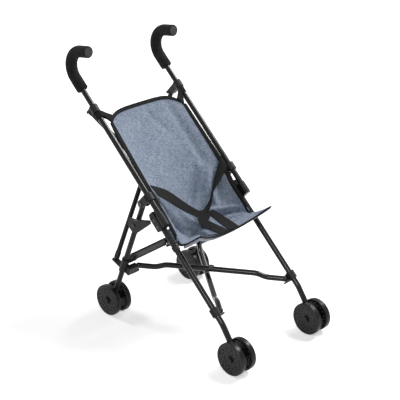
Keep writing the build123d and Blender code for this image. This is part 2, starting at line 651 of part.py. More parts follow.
def sheet(grid, thickness):
    """Closed solid of even thickness over a grid of points, made of flat triangles."""
    rows = len(grid)
    columns = len(grid[0])
    faces_up = []
    faces_down = []
    for i in range(rows):
        line_up = []
        line_down = []
        for j in range(columns):
            along = grid[min(i + 1, rows - 1)][j] - grid[max(i - 1, 0)][j]
            across = grid[i][min(j + 1, columns - 1)] - grid[i][max(j - 1, 0)]
            normal = along.cross(across).normalized() * (thickness / 2)
            line_up.append(grid[i][j] + normal)
            line_down.append(grid[i][j] - normal)
        faces_up.append(line_up)
        faces_down.append(line_down)
    triangles = []
    for i in range(rows - 1):
        for j in range(columns - 1):
            for points in (faces_up, faces_down):
                quad = [points[i][j], points[i + 1][j], points[i + 1][j + 1], points[i][j + 1]]
                triangles.append((quad[0], quad[1], quad[2]))
                triangles.append((quad[0], quad[2], quad[3]))
    rim = [(0, j) for j in range(columns - 1)] + [(i, columns - 1) for i in range(rows - 1)]
    rim += [(rows - 1, j) for j in range(columns - 1, 0, -1)] + [(i, 0) for i in range(rows - 1, 0, -1)]
    for index, (i, j) in enumerate(rim):
        k, m = rim[(index + 1) % len(rim)]
        triangles.append((faces_up[i][j], faces_up[k][m], faces_down[k][m]))
        triangles.append((faces_up[i][j], faces_down[k][m], faces_down[i][j]))
    faces = [Face(Wire.make_polygon(triangle)) for triangle in triangles]
    return Solid(Shell(faces))


def seat_sling():
    rows = range(2 * len(SEAT_EDGE) - 1)
    columns = range(SEAT_COLUMNS + 1)
    grid = [[sling_point(2 * j / SEAT_COLUMNS - 1, i / 2) for j in columns] for i in rows]
    return sheet(grid, CLOTH)


def side_binding(side):
    """Edging tape along one side of the sling, from its top corner to its clip."""
    tape = []
    for row in range(len(SEAT_EDGE) - 1):
        edge = sling_point(side, row)
        inner = edge + Vector(side * SEAM_GAP, 0, 0)
        tape.append([inner, inner + Vector(side * BINDING_WIDTH, 0, 0)])
    return sheet(tape, BINDING_THICKNESS)


def end_binding(row, reach):
    """Edging tape along the top edge or the front edge, beyond the sling's last row."""
    columns = range(SEAT_COLUMNS + 1)
    line = [sling_point(2 * j / SEAT_COLUMNS - 1, row) for j in columns]
    inside = [sling_point(2 * j / SEAT_COLUMNS - 1, row - reach) for j in columns]
    tape = []
    for edge, inner in zip(line, inside):
        out = (edge - inner).normalized()
        tape.append([edge + out * SEAM_GAP, edge + out * (SEAM_GAP + BINDING_WIDTH)])
    return sheet(tape, BINDING_THICKNESS)


def strap(start, end, width_start, width_end, steps):
    """Flat band between two points, given as a middle line with a width direction at each end."""
    tape = []
    for i in range(steps + 1):
        share = i / steps
        middle = start + (end - start) * share
        half = (width_start + (width_end - width_start) * share) / 2
        tape.append([middle - half, middle + half])
    return sheet(tape, STRAP_THICKNESS)


def top_tab():
    """Webbing loop round the handle tube with a tail to the seat's top corner."""
    along = SEAT_EDGE[0][2] + TAB_LENGTH / 2
    low = (HANDLE_X, 0, along)
    high = (HANDLE_X, 0, along + TAB_LENGTH)
    loop = rod(low, high, HANDLE_RADIUS + TAB_WALL) - rod(low, high, HANDLE_RADIUS)
    tail_xs = (SEAT_EDGE[0][0] + BINDING_WIDTH, HANDLE_X - HANDLE_RADIUS)
    tail_behinds = (SEAT_EDGE[0][1] - TAB_WALL, SEAT_EDGE[0][1])
    return loop + block(tail_xs, tail_behinds, (along, along + TAB_LENGTH / 2))


HARNESS_CENTRE = Vector(0, SEAT_MIDDLE[5][0] - HARNESS_LIFT, SEAT_MIDDLE[5][1])
STRAP_EDGE = Vector(SEAT_EDGE[3][0] - SEAM_GAP, SEAT_EDGE[3][1] - BINDING_THICKNESS, SEAT_EDGE[3][2])
CROTCH_END = Vector(0, SEAT_MIDDLE[-1][0] + CROTCH_STRAP_BEHIND, SEAT_MIDDLE[-1][1] + CROTCH_STRAP_ABOVE)


def shoulder_strap(side):
    start = Vector(side * STRAP_EDGE.X, STRAP_EDGE.Y, STRAP_EDGE.Z)
    end = HARNESS_CENTRE + Vector(side * (HARNESS_PATCH / 2 + HARNESS_GAP), 0, 0)
    return strap(start, end, Vector(0, 0, STRAP_WIDTH), Vector(0, 0, STRAP_WIDTH), 4)


def harness_patch():
    half = HARNESS_PATCH / 2
    tape = []
    for x in (-half, half):
        middle = HARNESS_CENTRE + Vector(x, 0, 0)
        tape.append([middle - Vector(0, 0, half), middle + Vector(0, 0, half)])
    return sheet(tape, STRAP_THICKNESS)


def crotch_strap():
    start = HARNESS_CENTRE - Vector(0, 0, HARNESS_PATCH / 2 + HARNESS_GAP)
    return strap(start, CROTCH_END, Vector(STRAP_WIDTH, 0, 0), Vector(STRAP_WIDTH, 0, 0), 3)


# Left-hand pieces are mirror images, and the side's own braces set where each cup and ledge sits
os.makedirs("parts", exist_ok=True)

SIDES = {
    "left": (other_side, BRACE_FRONT_BEHIND, BRACE_REAR_OFF, -1, -SEAT_BRACE_BOW),
    "right": (lambda shape: shape, BRACE_REAR_BEHIND, BRACE_FRONT_OFF, 1, SEAT_BRACE_BOW),
}
BRACE_OFFS = {"left": BRACE_FRONT_OFF, "right": BRACE_REAR_OFF}

for name, (turn, behind, leg_off, layer, lift) in SIDES.items():
    save(name + "_handle_tube", turn(in_frame(handle_tube())))
    save(name + "_grip", turn(in_frame(grip())))
    save(name + "_grip_plug", turn(in_frame(grip_plug())))
    save(name + "_front_tube", turn(in_frame(front_tube())))
    save(name + "_frame_joiner", turn(in_frame(joiner())))
    save(name + "_pivot_clamp", turn(in_frame(pivot_clamp())))
    save(name + "_upper_bracket", turn(in_frame(upper_bracket(behind))))
    save(name + "_front_bracket", turn(in_frame(front_bracket())))
    save(name + "_seat_clip", turn(in_frame(seat_clip())))
    save(name + "_frame_rivets", *[turn(in_frame(shape)) for shape in frame_rivets()])
    save(name + "_front_axle", *[turn(shape) for shape in axle_set(FRONT_X, FRONT_AXLE, in_frame)])
    save(name + "_rear_leg", turn(in_leg(rear_leg())))
    save(name + "_lower_bracket", turn(in_leg(lower_bracket(leg_off, layer))))
    save(name + "_lock_bracket", turn(in_leg(lock_bracket())))
    save(name + "_leg_rivets", *[turn(in_leg(shape)) for shape in leg_rivets(layer)])
    save(name + "_lock_lever", turn(in_leg(lock_lever())))
    save(name + "_rear_axle", *[turn(shape) for shape in axle_set(LEG_X, (0, LEG_LENGTH), in_leg)])
    save(name + "_rear_link", turn(in_leg(rear_link(layer))))
    save(name + "_back_brace", turn(in_frame(back_brace(behind, BRACE_OFFS[name]))))
    save(name + "_back_brace_cap", turn(in_frame(brace_cap(behind, BRACE_OFFS[name]))))
    save(name + "_seat_brace", turn(in_frame(seat_brace(lift))))
    for place_name, side in (("outer", 1), ("inner", -1)):
        front_x = FRONT_X + side * PAIR_SPACING / 2
        rear_x = LEG_X + side * PAIR_SPACING / 2
        save(name + "_front_" + place_name + "_wheel", turn(wheel(front_x, side, FRONT_AXLE, in_frame)))
        save(name + "_rear_" + place_name + "_wheel", turn(wheel(rear_x, side, (0, LEG_LENGTH), in_leg)))

save("seat_brace_pivot", in_frame(cross_pin(SEAT_BRACE_BOW)))
save("seat_sling", in_frame(seat_sling()))
save("seat_side_binding", in_frame(side_binding(1)), in_frame(side_binding(-1)))
save("seat_top_binding", in_frame(end_binding(0, -1)))
save("seat_front_binding", in_frame(end_binding(len(SEAT_EDGE) - 1, 1)))
save("seat_top_tabs", in_frame(top_tab()), other_side(in_frame(top_tab())))
save("harness_left_strap", in_frame(shoulder_strap(-1)))
save("harness_right_strap", in_frame(shoulder_strap(1)))
save("harness_patch", in_frame(harness_patch()))
save("harness_crotch_strap", in_frame(crotch_strap()))
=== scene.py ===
# %% [markdown]
# # A folding doll stroller
# The frame, wheels and brackets come from the CAD model and are used as they are. This lesson
# gives them finishes, then sews the parts that CAD leaves plain: the sling seat, its edging tape,
# the tabs that hold it to the tubes, and the harness. The soft parts could be sculpted, but a
# grid of points that follows a few given lines is easier to read and to change.

# %% Load the imported frame
import json
import math

import bmesh
import bpy
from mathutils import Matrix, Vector


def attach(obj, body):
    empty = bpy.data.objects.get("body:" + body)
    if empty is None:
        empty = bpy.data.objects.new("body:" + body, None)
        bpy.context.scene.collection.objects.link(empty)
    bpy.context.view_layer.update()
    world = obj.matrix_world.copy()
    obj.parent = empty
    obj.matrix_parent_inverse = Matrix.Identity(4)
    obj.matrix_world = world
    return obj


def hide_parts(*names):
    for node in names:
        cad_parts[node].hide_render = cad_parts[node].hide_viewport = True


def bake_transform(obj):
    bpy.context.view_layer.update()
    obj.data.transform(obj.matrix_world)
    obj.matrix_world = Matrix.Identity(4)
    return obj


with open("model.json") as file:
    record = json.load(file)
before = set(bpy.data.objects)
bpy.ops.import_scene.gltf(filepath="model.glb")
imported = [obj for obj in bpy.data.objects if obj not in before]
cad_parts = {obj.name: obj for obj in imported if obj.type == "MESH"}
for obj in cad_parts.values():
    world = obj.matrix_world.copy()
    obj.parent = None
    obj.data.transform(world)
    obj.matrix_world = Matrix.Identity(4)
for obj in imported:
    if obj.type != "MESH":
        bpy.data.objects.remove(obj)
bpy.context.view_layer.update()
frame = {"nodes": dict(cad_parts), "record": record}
scene = bpy.context.scene

# %% [markdown]
# ## Camera
# The photograph looks down on the buggy from its front left corner. The lens is long, so the near
# and far wheels come out at almost the same size. A camera could be parented to a target, but two
# points and a turn say the same in one line. Places are in metres, the lens in millimetres.

# %% Camera
EYE = Vector((-1.5110, -1.5035, 1.1628))
AIM = Vector((-0.0173, -0.0252, 0.2677))
LENS = 105.06
SENSOR = 36.0


def turn_towards(place, target):
    """Turn that points a camera or lamp from its place to a target."""
    return (target - place).to_track_quat("-Z", "Y").to_euler()


lens = bpy.data.cameras.new("photo_lens")
lens.lens = LENS
lens.sensor_width = SENSOR
camera = bpy.data.objects.new("photo_camera", lens)
camera.location = EYE
camera.rotation_euler = turn_towards(EYE, AIM)
scene.collection.objects.link(camera)
scene.camera = camera
scene.view_settings.view_transform = "Standard"
print("camera is", round((AIM - EYE).length, 3), "m from its target")

# %% [markdown]
# ## Small node helpers
# Every node tree below needs the same two things: one value worked out from two others, and a
# value moved from one span to another. They could be wired by hand each time, but two helpers
# keep the trees short.

# %% Small node helpers
def combine(nodes, links, kind, first, second):
    """Math node on a socket and a second socket or plain number."""
    step = nodes.new("ShaderNodeMath")
    step.operation = kind
    links.new(first, step.inputs[0])
    if isinstance(second, float):
        step.inputs[1].default_value = second
    else:
        links.new(second, step.inputs[1])
    return step.outputs[0]


def remap(nodes, links, value, source, target, kind="LINEAR"):
    """Value moved from the source span to the target span."""
    step = nodes.new("ShaderNodeMapRange")
    step.interpolation_type = kind
    step.inputs["From Min"].default_value, step.inputs["From Max"].default_value = source
    step.inputs["To Min"].default_value, step.inputs["To Max"].default_value = target
    links.new(value, step.inputs["Value"])
    return step.outputs["Result"]


print("node helpers: combine, remap")

# %% [markdown]
# ## World
# The shot is a studio one on white paper. The world could light the whole scene, but then the
# folds of the cloth would vanish, so it fills the shadows only a little. To the camera, and in
# reflections, it is plain white all the same.

# %% World
WORLD_LIGHT = 0.07
SEEN_WHITE = 1.0
WHITE = (1, 1, 1, 1)


def seen_or_lit(nodes, links):
    """One where the camera, a reflection or a clear pane looks, zero for plain light."""
    path = nodes.new("ShaderNodeLightPath").outputs
    seen = combine(nodes, links, "MAXIMUM", path["Is Camera Ray"], path["Is Glossy Ray"])
    return combine(nodes, links, "MAXIMUM", seen, path["Is Transmission Ray"])


def light_world():
    world = bpy.data.worlds.new("studio")
    world.use_nodes = True
    nodes = world.node_tree.nodes
    links = world.node_tree.links
    seen = seen_or_lit(nodes, links)
    strength = remap(nodes, links, seen, (0.0, 1.0), (WORLD_LIGHT, SEEN_WHITE))
    nodes["Background"].inputs["Color"].default_value = WHITE
    links.new(strength, nodes["Background"].inputs["Strength"])
    scene.world = world


light_world()
print("world light:", WORLD_LIGHT)

# %% [markdown]
# ## Lamps
# Four soft boxes do the lighting. The key lamp stands high on the right, so that it rakes across
# the seat and shows its folds, and the others lighten the left, the back and the right-hand
# tubes. Larger boxes would be softer, but these give the gloss paint narrow bright lines between
# dark sides.

# %% Lamps
LAMP_TARGET = Vector((0, 0, 0.25))
# Name, place in metres, width in metres, watts
LAMPS = [
    ("key_lamp", (1.3, -0.55, 2.1), 0.8, 46),
    ("fill_lamp", (-1.5, -1.3, 1.6), 0.6, 16),
    ("back_lamp", (-0.4, 1.7, 1.7), 0.5, 14),
    ("side_lamp", (1.9, 0.3, 1.2), 0.4, 9),
]


def soft_lamp(name, place, width, watts):
    data = bpy.data.lights.new(name, "AREA")
    data.size = width
    data.energy = watts
    lamp = bpy.data.objects.new(name, data)
    lamp.location = place
    lamp.rotation_euler = turn_towards(Vector(place), LAMP_TARGET)
    scene.collection.objects.link(lamp)


for lamp_row in LAMPS:
    soft_lamp(*lamp_row)
print(len(LAMPS), "lamps are up")

# %% [markdown]
# ## Floor
# The floor is white paper. Brighter lamps could make it white, but they would bleach the buggy
# too. So it glows only where the camera or a reflection looks at it, and more the farther it is
# from the buggy: it runs into the white background while the shadows near the wheels darken it.

# %% Floor
FLOOR_HALF = 6.0
PAPER_COLOUR = (0.9, 0.9, 0.9, 1)
PAPER_ROUGHNESS = 0.9
PAPER_GLOW = (0.5, 1.0)
GLOW_DISTANCE = (0.35, 1.3)


def paper_finish():
    paper = bpy.data.materials.new("studio_paper")
    paper.use_nodes = True
    nodes = paper.node_tree.nodes
    links = paper.node_tree.links
    shader = nodes["Principled BSDF"]
    shader.inputs["Base Color"].default_value = PAPER_COLOUR
    shader.inputs["Roughness"].default_value = PAPER_ROUGHNESS
    shader.inputs["Emission Color"].default_value = WHITE
    away = nodes.new("ShaderNodeVectorMath")
    away.operation = "LENGTH"
    links.new(nodes.new("ShaderNodeTexCoord").outputs["Object"], away.inputs[0])
    level = remap(nodes, links, away.outputs["Value"], GLOW_DISTANCE, PAPER_GLOW, "SMOOTHSTEP")
    glow = combine(nodes, links, "MULTIPLY", seen_or_lit(nodes, links), level)
    links.new(glow, shader.inputs["Emission Strength"])
    return paper


def piece_from(mesh, name, finishes):
    """Turns a finished bmesh into an object of the scene."""
    data = bpy.data.meshes.new(name)
    mesh.to_mesh(data)
    mesh.free()
    for finish in finishes:
        data.materials.append(finish)
    piece = bpy.data.objects.new(name, data)
    scene.collection.objects.link(piece)
    return piece


floor_mesh = bmesh.new()
bmesh.ops.create_grid(floor_mesh, x_segments=1, y_segments=1, size=FLOOR_HALF)
floor = piece_from(floor_mesh, "floor", [paper_finish()])
print("floor is", FLOOR_HALF * 2, "m wide")

# %% [markdown]
# ## Noise, colour and bump
# Real paint, plastic and cloth are never one flat colour. A few small helpers give every finish
# its variation: a noise of a given size, a ramp between two colours and a bump. A painted image
# could do the same, but it would need a UV map on every CAD part.

# %% Noise, colour and bump
EVEN_EDGES = (0.35, 0.65)
FINE_DETAIL = 2.0
COOL = 1.04


def start_finish(name):
    finish = bpy.data.materials.new(name)
    finish.use_nodes = True
    return finish, finish.node_tree.nodes, finish.node_tree.links


def noise_on(nodes, links, where, size, detail):
    noise = nodes.new("ShaderNodeTexNoise")
    noise.inputs["Scale"].default_value = 1.0 / size
    noise.inputs["Detail"].default_value = detail
    links.new(where, noise.inputs["Vector"])
    return noise.outputs["Fac"]


def blend_colours(nodes, links, share, low, high, edges):
    ramp = nodes.new("ShaderNodeValToRGB")
    for stop, edge, colour in zip(ramp.color_ramp.elements, edges, (low, high)):
        stop.position = edge
        stop.color = (*colour, 1)
    links.new(share, ramp.inputs["Fac"])
    return ramp.outputs["Color"]


def raise_bump(nodes, links, height, shader, strength, depth):
    bump = nodes.new("ShaderNodeBump")
    bump.inputs["Strength"].default_value = strength
    bump.inputs["Distance"].default_value = depth
    links.new(height, bump.inputs["Height"])
    links.new(bump.outputs["Normal"], shader.inputs["Normal"])


def grey(value):
    """Neutral colour, a touch cool."""
    return (value, value, value * COOL)


print("finish helpers: noise_on, blend_colours, raise_bump, grey")

# %% [markdown]
# ## How a hard finish is built
# The tubes are powder coated gloss black, the rear legs and links have a duller, greyer coat, and
# the brackets and wheels are moulded plastic with a fine grain. One flat black could serve for
# all of them, but it would look like paper. Each finish therefore has a noise for the colour, one
# for the roughness and a fine one for bump. Sizes are in metres.

# %% How a hard finish is built
NOISE_MIDDLE = (0.3, 0.7)
MOTTLE_SIZE = 0.03
MOTTLE_DETAIL = 3.0
SMEAR_SIZE = 0.012
SMEAR_DETAIL = 4.0
COAT_ROUGHNESS = 0.08


def hard_finish(name, dark, light, rough, grain, bump, specular, coat=0.0, metal=0.0):
    """Coated or moulded surface: mottled colour, uneven gloss and a fine grain."""
    finish, nodes, links = start_finish(name)
    shader = nodes["Principled BSDF"]
    where = nodes.new("ShaderNodeTexCoord").outputs["Object"]
    mottle = noise_on(nodes, links, where, MOTTLE_SIZE, MOTTLE_DETAIL)
    colour = blend_colours(nodes, links, mottle, grey(dark), grey(light), EVEN_EDGES)
    links.new(colour, shader.inputs["Base Color"])
    smear = noise_on(nodes, links, where, SMEAR_SIZE, SMEAR_DETAIL)
    links.new(remap(nodes, links, smear, NOISE_MIDDLE, rough), shader.inputs["Roughness"])
    fine = noise_on(nodes, links, where, grain, FINE_DETAIL)
    raise_bump(nodes, links, fine, shader, bump, grain)
    shader.inputs["Specular IOR Level"].default_value = specular
    shader.inputs["Coat Weight"].default_value = coat
    shader.inputs["Coat Roughness"].default_value = COAT_ROUGHNESS
    shader.inputs["Metallic"].default_value = metal
    return finish


print("a hard finish mottles over", MOTTLE_SIZE, "m")

# %% [markdown]
# ## Finishes for the hard parts
# Tubes have a clear coat over nearly black paint, foam grips hardly shine at all, and the plugs
# in the grips are a little paler than the foam. The CAD record gives each node a material slot,
# so the finishes go on by slot, and only axles and plugs are picked by name.

# %% Finishes for the hard parts
gloss_coat = hard_finish(
    "gloss_black_coat", dark=0.003, light=0.005, rough=(0.16, 0.24),
    grain=0.0012, bump=0.05, specular=0.08, coat=0.4)
leg_coat = hard_finish(
    "satin_grey_coat", dark=0.010, light=0.019, rough=(0.34, 0.46),
    grain=0.0009, bump=0.12, specular=0.2)
moulded = hard_finish(
    "moulded_black", dark=0.005, light=0.011, rough=(0.36, 0.5),
    grain=0.0007, bump=0.2, specular=0.22)
wheel_black = hard_finish(
    "wheel_black", dark=0.005, light=0.010, rough=(0.2, 0.32),
    grain=0.0008, bump=0.15, specular=0.26)
foam = hard_finish(
    "grip_foam", dark=0.006, light=0.012, rough=(0.82, 0.95),
    grain=0.0011, bump=0.5, specular=0.2)
dark_steel = hard_finish(
    "dark_steel", dark=0.05, light=0.09, rough=(0.34, 0.48),
    grain=0.0006, bump=0.1, specular=0.4, metal=1.0)
plug_grey = hard_finish(
    "grip_plug_grey", dark=0.014, light=0.03, rough=(0.3, 0.45),
    grain=0.0006, bump=0.1, specular=0.4)

SLOT_FINISHES = {
    "frame_paint": gloss_coat,
    "leg_paint": leg_coat,
    "bracket_plastic": moulded,
    "foam": foam,
    "wheel_plastic": wheel_black,
    "steel": dark_steel,
}
NODE_FINISHES = {"_axle": moulded, "_grip_plug": plug_grey}

painted = 0
for row in frame["record"]["subparts"]:
    finish = SLOT_FINISHES.get(row["material_slot"])
    for ending, own_finish in NODE_FINISHES.items():
        if row["node"].endswith(ending):
            finish = own_finish
    if finish is not None:
        node = frame["nodes"][row["node"]]
        node.data.materials.clear()
        node.data.materials.append(finish)
        painted += 1
print("finished", painted, "hard parts")

# %% [markdown]
# ## Threads and slubs
# Seen close up, a cloth is two sets of threads that cross, and its yarn is thicker in some places
# than in others. Those thick places are slubs. Threads could be modelled one by one, but there are
# hundreds, so a wave stands for each set and a stretched noise for the slubs.

# %% Threads and slubs
THREAD_WOBBLE = 0.6
THREAD_DETAIL = 1.0
SLUB_DETAIL = 3.0


def threads(nodes, links, uv, direction, pitch):
    """Ridges of one set of threads; a wave repeats about every 1 / pi of its scaled place."""
    wave = nodes.new("ShaderNodeTexWave")
    wave.bands_direction = direction
    wave.inputs["Scale"].default_value = 1.0 / (math.pi * pitch)
    wave.inputs["Distortion"].default_value = THREAD_WOBBLE
    wave.inputs["Detail"].default_value = THREAD_DETAIL
    links.new(uv, wave.inputs["Vector"])
    return wave.outputs["Fac"]


def slubs(nodes, links, uv, lengths):
    """Streaks of thick and thin yarn, long along one direction of the weave."""
    stretch = nodes.new("ShaderNodeMapping")
    stretch.inputs["Scale"].default_value = (1.0 / lengths[0], 1.0 / lengths[1], 1.0)
    links.new(uv, stretch.inputs["Vector"])
    return noise_on(nodes, links, stretch.outputs["Vector"], 1.0, SLUB_DETAIL)


print("weave helpers: threads, slubs")

# %% [markdown]
# ## How a woven finish is built
# The seat is a heathered chambray: blue and pale threads woven one over one, with thicker slubs
# running along both directions. An image of cloth would blur close up, so the weave is made of
# nodes. It follows the cloth's own UV map, which is measured in metres, so threads keep their
# size wherever the cloth is bent.

# %% How a woven finish is built
# Lengths of yarn, speckle and clouds in metres, with the share that each has in the tone
LONG_SLUB = (0.0011, 0.013)
CROSS_SLUB = (0.011, 0.0011)
SLUB_SHARE = 0.31
SPECKLE_SIZE = 0.0014
SPECKLE_SHARE = 0.30
CLOUD_SIZE = 0.06
CLOUD_SHARE = 0.08
SLUB_HEIGHT = 0.5
THREAD_HEIGHT = 0.4
CLOTH_SPECULAR = 0.15


def woven(name, low, high, pitch, edges, rough, sheen, bump):
    """Plain weave on a UV map in metres: two sets of threads, slubs both ways and loose speckle."""
    finish, nodes, links = start_finish(name)

    def mix(kind, first, second):
        return combine(nodes, links, kind, first, second)

    shader = nodes["Principled BSDF"]
    uv = nodes.new("ShaderNodeTexCoord").outputs["UV"]
    warp = threads(nodes, links, uv, "X", pitch)
    weft = threads(nodes, links, uv, "Y", pitch)
    long_slubs = slubs(nodes, links, uv, LONG_SLUB)
    cross_slubs = slubs(nodes, links, uv, CROSS_SLUB)
    speckle = noise_on(nodes, links, uv, SPECKLE_SIZE, FINE_DETAIL)
    cloudy = noise_on(nodes, links, uv, CLOUD_SIZE, FINE_DETAIL)
    streaks = mix("MULTIPLY", mix("ADD", long_slubs, cross_slubs), SLUB_SHARE)
    specks = mix("MULTIPLY", speckle, SPECKLE_SHARE)
    clouds = mix("MULTIPLY", cloudy, CLOUD_SHARE)
    tone = mix("ADD", streaks, mix("ADD", specks, clouds))
    links.new(blend_colours(nodes, links, tone, low, high, edges), shader.inputs["Base Color"])
    shader.inputs["Roughness"].default_value = rough
    shader.inputs["Sheen Weight"].default_value = sheen
    shader.inputs["Specular IOR Level"].default_value = CLOTH_SPECULAR
    weave = mix("MAXIMUM", warp, weft)
    height = mix("ADD", weave, mix("MULTIPLY", long_slubs, SLUB_HEIGHT))
    raise_bump(nodes, links, height, shader, bump, pitch * THREAD_HEIGHT)
    return finish


print("slubs are up to", LONG_SLUB[1], "m long")

# %% [markdown]
# ## Cloth finishes
# Four cloths come from that one recipe. The chambray has the strongest contrast between its
# threads, its underside has a pale lining, and edging tape and straps are black with the coarser
# ribs of woven tape. Separate recipes would allow more, but at this size the thread pitch and
# colours tell them apart.

# %% Cloth finishes
CHAMBRAY_EDGES = (0.42, 0.58)
chambray = woven(
    "blue_chambray", low=(0.10, 0.145, 0.235), high=(0.41, 0.46, 0.54), pitch=0.0011,
    edges=CHAMBRAY_EDGES, rough=0.9, sheen=0.1, bump=0.5)
lining = woven(
    "pale_lining", low=(0.34, 0.36, 0.46), high=(0.52, 0.54, 0.64), pitch=0.0008,
    edges=EVEN_EDGES, rough=0.85, sheen=0.1, bump=0.3)
edging = woven(
    "black_edging_tape", low=grey(0.003), high=grey(0.009), pitch=0.0012,
    edges=EVEN_EDGES, rough=0.8, sheen=0.03, bump=0.6)
webbing = woven(
    "black_webbing", low=grey(0.004), high=grey(0.012), pitch=0.0016,
    edges=EVEN_EDGES, rough=0.8, sheen=0.03, bump=0.7)
print("cloth finishes:", chambray.name, lining.name, edging.name, webbing.name)

# %% [markdown]
# ## Places on the stroller
# Most soft parts hang on the leaning handle tubes. They could be placed in the scene's own axes,
# but it is easier in the tubes' directions: across, square to the tubes towards the rear, and
# along the tubes from the floor up. One small function turns such a place, in millimetres, into
# metres.

# %% Places on the stroller
LEAN = math.radians(47.0)
# Where the line of the tubes meets the floor, in metres
TUBE_FOOT_Y = -0.294573
MM = 0.001


def on_tubes(across, behind, along):
    y = TUBE_FOOT_Y + (along * math.sin(LEAN) + behind * math.cos(LEAN)) * MM
    z = (along * math.cos(LEAN) - behind * math.sin(LEAN)) * MM
    return Vector((across * MM, y, z))


def smooth_between(stops, t):
    """Place on a smooth line through the stops, with t counting the stops."""
    low = min(max(int(t), 0), len(stops) - 2)
    share = t - low
    near = [stops[min(max(low + k, 0), len(stops) - 1)] for k in (-1, 0, 1, 2)]
    before, start, end, after = (Vector(stop) for stop in near)
    a = (3 * start - before - 3 * end + after) * 0.5
    b = (2 * before - 5 * start + 4 * end - after) * 0.5
    c = (end - before) * 0.5
    return ((a * share + b) * share + c) * share + start


def smooth_value(values, t):
    """Number on a smooth line through the values."""
    return smooth_between([(value, 0) for value in values], t).x


print("tubes lean by", round(math.degrees(LEAN), 1), "degrees from upright")

# %% [markdown]
# ## Sheets
# Cloth, tape and straps are all thin sheets. Each starts as a flat grid whose points are then
# moved to their places, and a Solidify modifier gives it a wall. A box would need its faces cut
# up by hand, while the grid brings even faces and a UV map of the flat cloth.

# %% Sheets
UNIT_HALF = 0.5


def grid_mesh(name, counts, place, finishes, flat):
    """Sheet piece: a grid whose points go where place(u, v) says, with u and v from 0 to 1."""
    mesh = bmesh.new()
    bmesh.ops.create_grid(mesh, x_segments=counts[0], y_segments=counts[1], size=UNIT_HALF)
    spots = {vert: (vert.co.x + UNIT_HALF, UNIT_HALF - vert.co.y) for vert in mesh.verts}
    map_of = mesh.loops.layers.uv.new("cloth")
    for face in mesh.faces:
        face.smooth = True
        for corner in face.loops:
            u, v = spots[corner.vert]
            corner[map_of].uv = (u * flat[0], v * flat[1])
    for vert, (u, v) in spots.items():
        vert.co = place(u, v)
    bmesh.ops.recalc_face_normals(mesh, faces=mesh.faces[:])
    return piece_from(mesh, name, finishes)


def give_wall(piece, thickness):
    """Turns a sheet into a closed skin; a second finish goes on the underside."""
    wall = piece.modifiers.new("wall", "SOLIDIFY")
    wall.thickness = thickness * MM
    wall.offset = 0.0
    wall.material_offset = len(piece.data.materials) - 1


def tape_piece(name, counts, place, thickness, finish, flat):
    piece = grid_mesh(name, counts, place, [finish], flat)
    give_wall(piece, thickness)
    return piece


print("sheet helpers: grid_mesh, give_wall, tape_piece")

# %% [markdown]
# ## Lines of the seat sling
# One cloth runs from the top edge down the back, under the seat and out to the front lip. Its
# sides are held along the tubes and its middle hangs free, so every row is a shallow trough. The
# two edge lines and the middle line are given, and each row is a curve between them. A
# cloth simulation alone could find such a shape, but it would not follow the real seat.

# %% Lines of the seat sling
# Stops (across, behind, along) from the top edge to the front lip, in millimetres
SEAT_LEFT = [
    (97, -2, 604), (98.5, -1, 560), (99.5, 0, 500), (99, 2, 440),
    (96, 7, 385), (95, 12, 345), (95, 15, 317), (100, -49, 302),
]
SEAT_RIGHT = [
    (97, -2, 603), (98.5, -1, 560), (100, 0, 500), (100.5, 2, 440),
    (98.5, 7, 385), (101, 9, 345), (102, 8, 321), (100, -49, 303),
]
SEAT_MIDDLE = [
    (0, 2, 618), (0, 7, 566), (0, 15, 505), (0, 28, 442),
    (0, 42, 394), (0, 50, 358), (0, 32, 328), (0, -11, 298),
]
SQUARE_ABOVE = 4.0
SQUARE_LIP = 2.0
CORNER_DROP = {-1: 9.0, 1: 18.0}
CORNER_SHARPNESS = 7
LAST_ROW = len(SEAT_MIDDLE) - 1
PAN_ROW = LAST_ROW - 1.5


def sling_place(across, row):
    """Point on the sling: across from -1 to 1, row from the top edge to the front lip."""
    side = smooth_between(SEAT_LEFT if across < 0 else SEAT_RIGHT, row)
    middle = smooth_between(SEAT_MIDDLE, row)
    off = min(abs(across), 1.0)
    lip = min(max((row - PAN_ROW) / (LAST_ROW - PAN_ROW), 0.0), 1.0)
    spot = side.lerp(middle, 1 - off ** (SQUARE_ABOVE + (SQUARE_LIP - SQUARE_ABOVE) * lip))
    drop = CORNER_DROP[-1 if across < 0 else 1]
    rounded = drop * off ** CORNER_SHARPNESS * max(0.0, 1 - row) ** 2
    return on_tubes(across * side.x, spot.y, spot.z - rounded)


def sling_uv(u, v):
    return sling_place(u * 2 - 1, v * LAST_ROW)


print("seat lines have", LAST_ROW + 1, "stops each")

# %% [markdown]
# ## Held edge and slack
# The seat's edge is sewn into the tape, and the cloth is looser in the seat than up the back. Two
# vertex groups say so: one of the points that are held, and one whose weight is the slack. They
# could be painted by hand, but the UV map already tells where each point lies on the flat cloth.

# %% Held edge and slack
# Flat size in metres; held margins are shares of it, and slack is place times rate, less delay
SEAT_FLAT = (0.205, 0.425)
HELD_SIDE = 0.03
HELD_END = 0.015
SLACK_RATE = 2
SLACK_DELAY = 0.6


def cloth_places(piece):
    """Each point's place on the flat seat cloth, from 0 to 1 across and down."""
    places = {}
    for loop, corner in zip(piece.data.loops, piece.data.uv_layers[0].data):
        places[loop.vertex_index] = (corner.uv[0] / SEAT_FLAT[0], corner.uv[1] / SEAT_FLAT[1])
    return places


def hold_edge(piece):
    """Group of the points that lie under the edging tape."""
    held = piece.vertex_groups.new(name="held")
    for index, (u, v) in cloth_places(piece).items():
        if min(u, 1 - u) < HELD_SIDE or min(v, 1 - v) < HELD_END:
            held.add([index], 1.0, "REPLACE")
    return held


def loosen(piece):
    """Group whose weight says how much slack each point has."""
    loose = piece.vertex_groups.new(name="loose")
    for index, (_, v) in cloth_places(piece).items():
        share = min(max(v * SLACK_RATE - SLACK_DELAY, 0.0), 1.0)
        loose.add([index], share, "REPLACE")
    return loose


